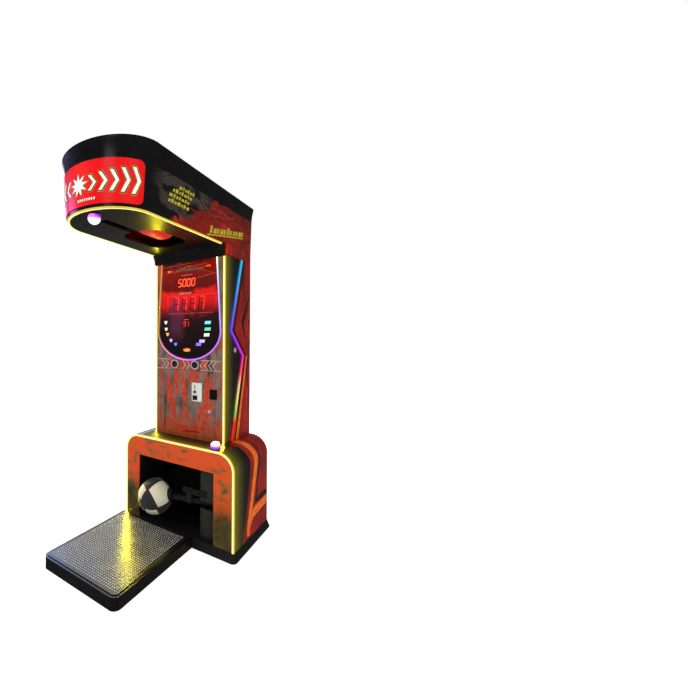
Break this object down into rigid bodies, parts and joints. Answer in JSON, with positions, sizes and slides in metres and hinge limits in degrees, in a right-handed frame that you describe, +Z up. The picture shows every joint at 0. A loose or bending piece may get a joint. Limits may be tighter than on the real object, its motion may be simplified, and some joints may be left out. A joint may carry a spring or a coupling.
{
  "type": "boxing punch machine",
  "caption": "Free-standing boxing and kicking strength tester with a swing-down punch bag, a kick ball in a lower bay, a lit score column and a standing platform.",
  "frame": {"origin": "middle of the machine's overall footprint, on the floor", "axes": "+Z up, +Y from the player's side to the rear, +X to the right as the player sees it"},
  "size_m": [0.77, 1.128, 1.93],
  "materials": {
    "black_gloss": "moulded fibreglass and laminate, gloss black",
    "black_board": "black melamine-faced board, gloss lacquer",
    "art_red": "printed vinyl over board, gloss",
    "art_front": "printed vinyl, gloss",
    "art_column": "printed vinyl, gloss",
    "black_plastic": "moulded ABS",
    "marquee_red": "printed translucent acrylic",
    "led_warm": "silicone diffuser, lit warm yellow",
    "led_rgb": "silicone diffuser, lit colour-changing",
    "glass_dark": "smoked acrylic",
    "digit_red": "red LED digit module",
    "lens_mixed": "backlit acrylic",
    "bright_steel": "brushed",
    "tread_steel": "checker plate",
    "chrome": "polished",
    "zinc_steel": "zinc plated / grey powder coat",
    "frame_grey": "grey primer",
    "rubber_black": "moulded rubber",
    "bag_red": "stitched leatherette",
    "ball_skin": "stitched panels, cream and charcoal",
    "dome_white": "frosted dome over a colour lens",
    "coin_pale": "pale enamel"
  },
  "bodies": {
    "root": {"plinth_skirt": "black_plastic", "base_floor": "black_board", "base_side_left": "art_red", "base_side_right": "art_red", "base_top_arch": "black_gloss", "base_front_panel": "art_front", "base_rear_panel": "black_board", "led_base": "led_warm", "power_inlet": "black_plastic", "feet": "rubber_black", "bay_liner": "black_plastic", "pivot_cover": "frame_grey", "kicker_shaft": "bright_steel", "kicker_bracket": "frame_grey", "stop_bar": "frame_grey", "stop_buffer": "rubber_black", "column_carcass": "black_gloss", "column_front": "art_column", "side_panel_left": "art_red", "side_panel_right": "art_red", "led_columns": "led_warm", "led_display": "led_rgb", "led_sides": "led_rgb", "display_glass": "glass_dark", "digit_modules": "digit_red", "indicator_lenses": "lens_mixed", "power_supply": "bright_steel", "cash_box": "frame_grey", "button_bezels": "chrome", "service_hinge": "frame_grey", "rear_hinges": "zinc_steel", "head_wall": "black_gloss", "head_cap": "black_gloss", "head_underside": "black_gloss", "head_wedge": "black_gloss", "led_head": "led_warm", "dome_lights": "dome_white", "marquee_panel": "marquee_red", "steel_frame": "frame_grey", "bag_bracket": "frame_grey", "bag_shaft": "bright_steel", "holding_magnet": "zinc_steel", "platform_frame": "black_board", "platform_plate": "tread_steel", "platform_bolts": "zinc_steel"},
    "service_door_body": {"service_door": "art_column", "coin_plate": "coin_pale", "lock_guard": "black_gloss"},
    "service_lock_body": {"service_lock": "chrome"},
    "coin_reject_body": {"coin_reject_button": "black_plastic"},
    "coin_flap_body": {"coin_return_flap": "black_plastic"},
    "rear_door_body": {"rear_door": "black_gloss"},
    "rear_lock_body": {"rear_lock": "chrome"},
    "bag_body": {"bag_arm": "zinc_steel", "punch_bag": "bag_red"},
    "kicker_body": {"kicker_arm": "zinc_steel", "kicker_ball": "ball_skin"},
    "button_left_body": {"button_left": "black_plastic"},
    "button_right_body": {"button_right": "black_plastic"},
    "power_rocker_body": {"power_switch": "rubber_black"}
  },
  "joints": [
    {"name": "bag_swing", "type": "hinge", "parent": "root", "child": "bag_body", "pos_m": [0, -0.391, 1.751], "axis": [-1, 0, 0], "range_deg": [0, 90]},
    {"name": "kicker_swing", "type": "hinge", "parent": "root", "child": "kicker_body", "pos_m": [0.205, 0.204, 0.227], "axis": [0, 0, -1], "range_deg": [0, 35], "stiffness_Nm_per_rad": 25, "springref_deg": -11.46},
    {"name": "button_left_press", "type": "slide", "parent": "root", "child": "button_left_body", "axis": [0, 1, 0], "range_m": [0, 0.003], "stiffness_N_per_m": 500, "springref_m": -0.002},
    {"name": "button_right_press", "type": "slide", "parent": "root", "child": "button_right_body", "axis": [0, 1, 0], "range_m": [0, 0.003], "stiffness_N_per_m": 500, "springref_m": -0.002},
    {"name": "service_door_swing", "type": "hinge", "parent": "root", "child": "service_door_body", "pos_m": [-0.172, 0.2382, 0.7535], "axis": [0, 0, -1], "range_deg": [0, 110]},
    {"name": "service_lock_turn", "type": "hinge", "parent": "service_door_body", "child": "service_lock_body", "pos_m": [0.149, 0.246, 0.719], "axis": [0, 1, 0], "range_deg": [0, 90]},
    {"name": "coin_reject_press", "type": "slide", "parent": "service_door_body", "child": "coin_reject_body", "axis": [0, 1, 0], "range_m": [0, 0.004], "stiffness_N_per_m": 150, "springref_m": -0.002},
    {"name": "coin_flap_swing", "type": "hinge", "parent": "service_door_body", "child": "coin_flap_body", "pos_m": [0.053, 0.2425, 0.7989], "axis": [1, 0, 0], "range_deg": [0, 70]},
    {"name": "rear_door_swing", "type": "hinge", "parent": "root", "child": "rear_door_body", "pos_m": [0.2315, 0.5553, 1.106], "axis": [0, 0, -1], "range_deg": [0, 110]},
    {"name": "rear_lock_turn", "type": "hinge", "parent": "rear_door_body", "child": "rear_lock_body", "pos_m": [-0.1995, 0.546, 1.106], "axis": [0, -1, 0], "range_deg": [0, 90]},
    {"name": "power_rocker_tip", "type": "hinge", "parent": "root", "child": "power_rocker_body", "pos_m": [0.29, 0.545, 0.12], "axis": [1, 0, 0], "range_deg": [-10, 10]}
  ]
}
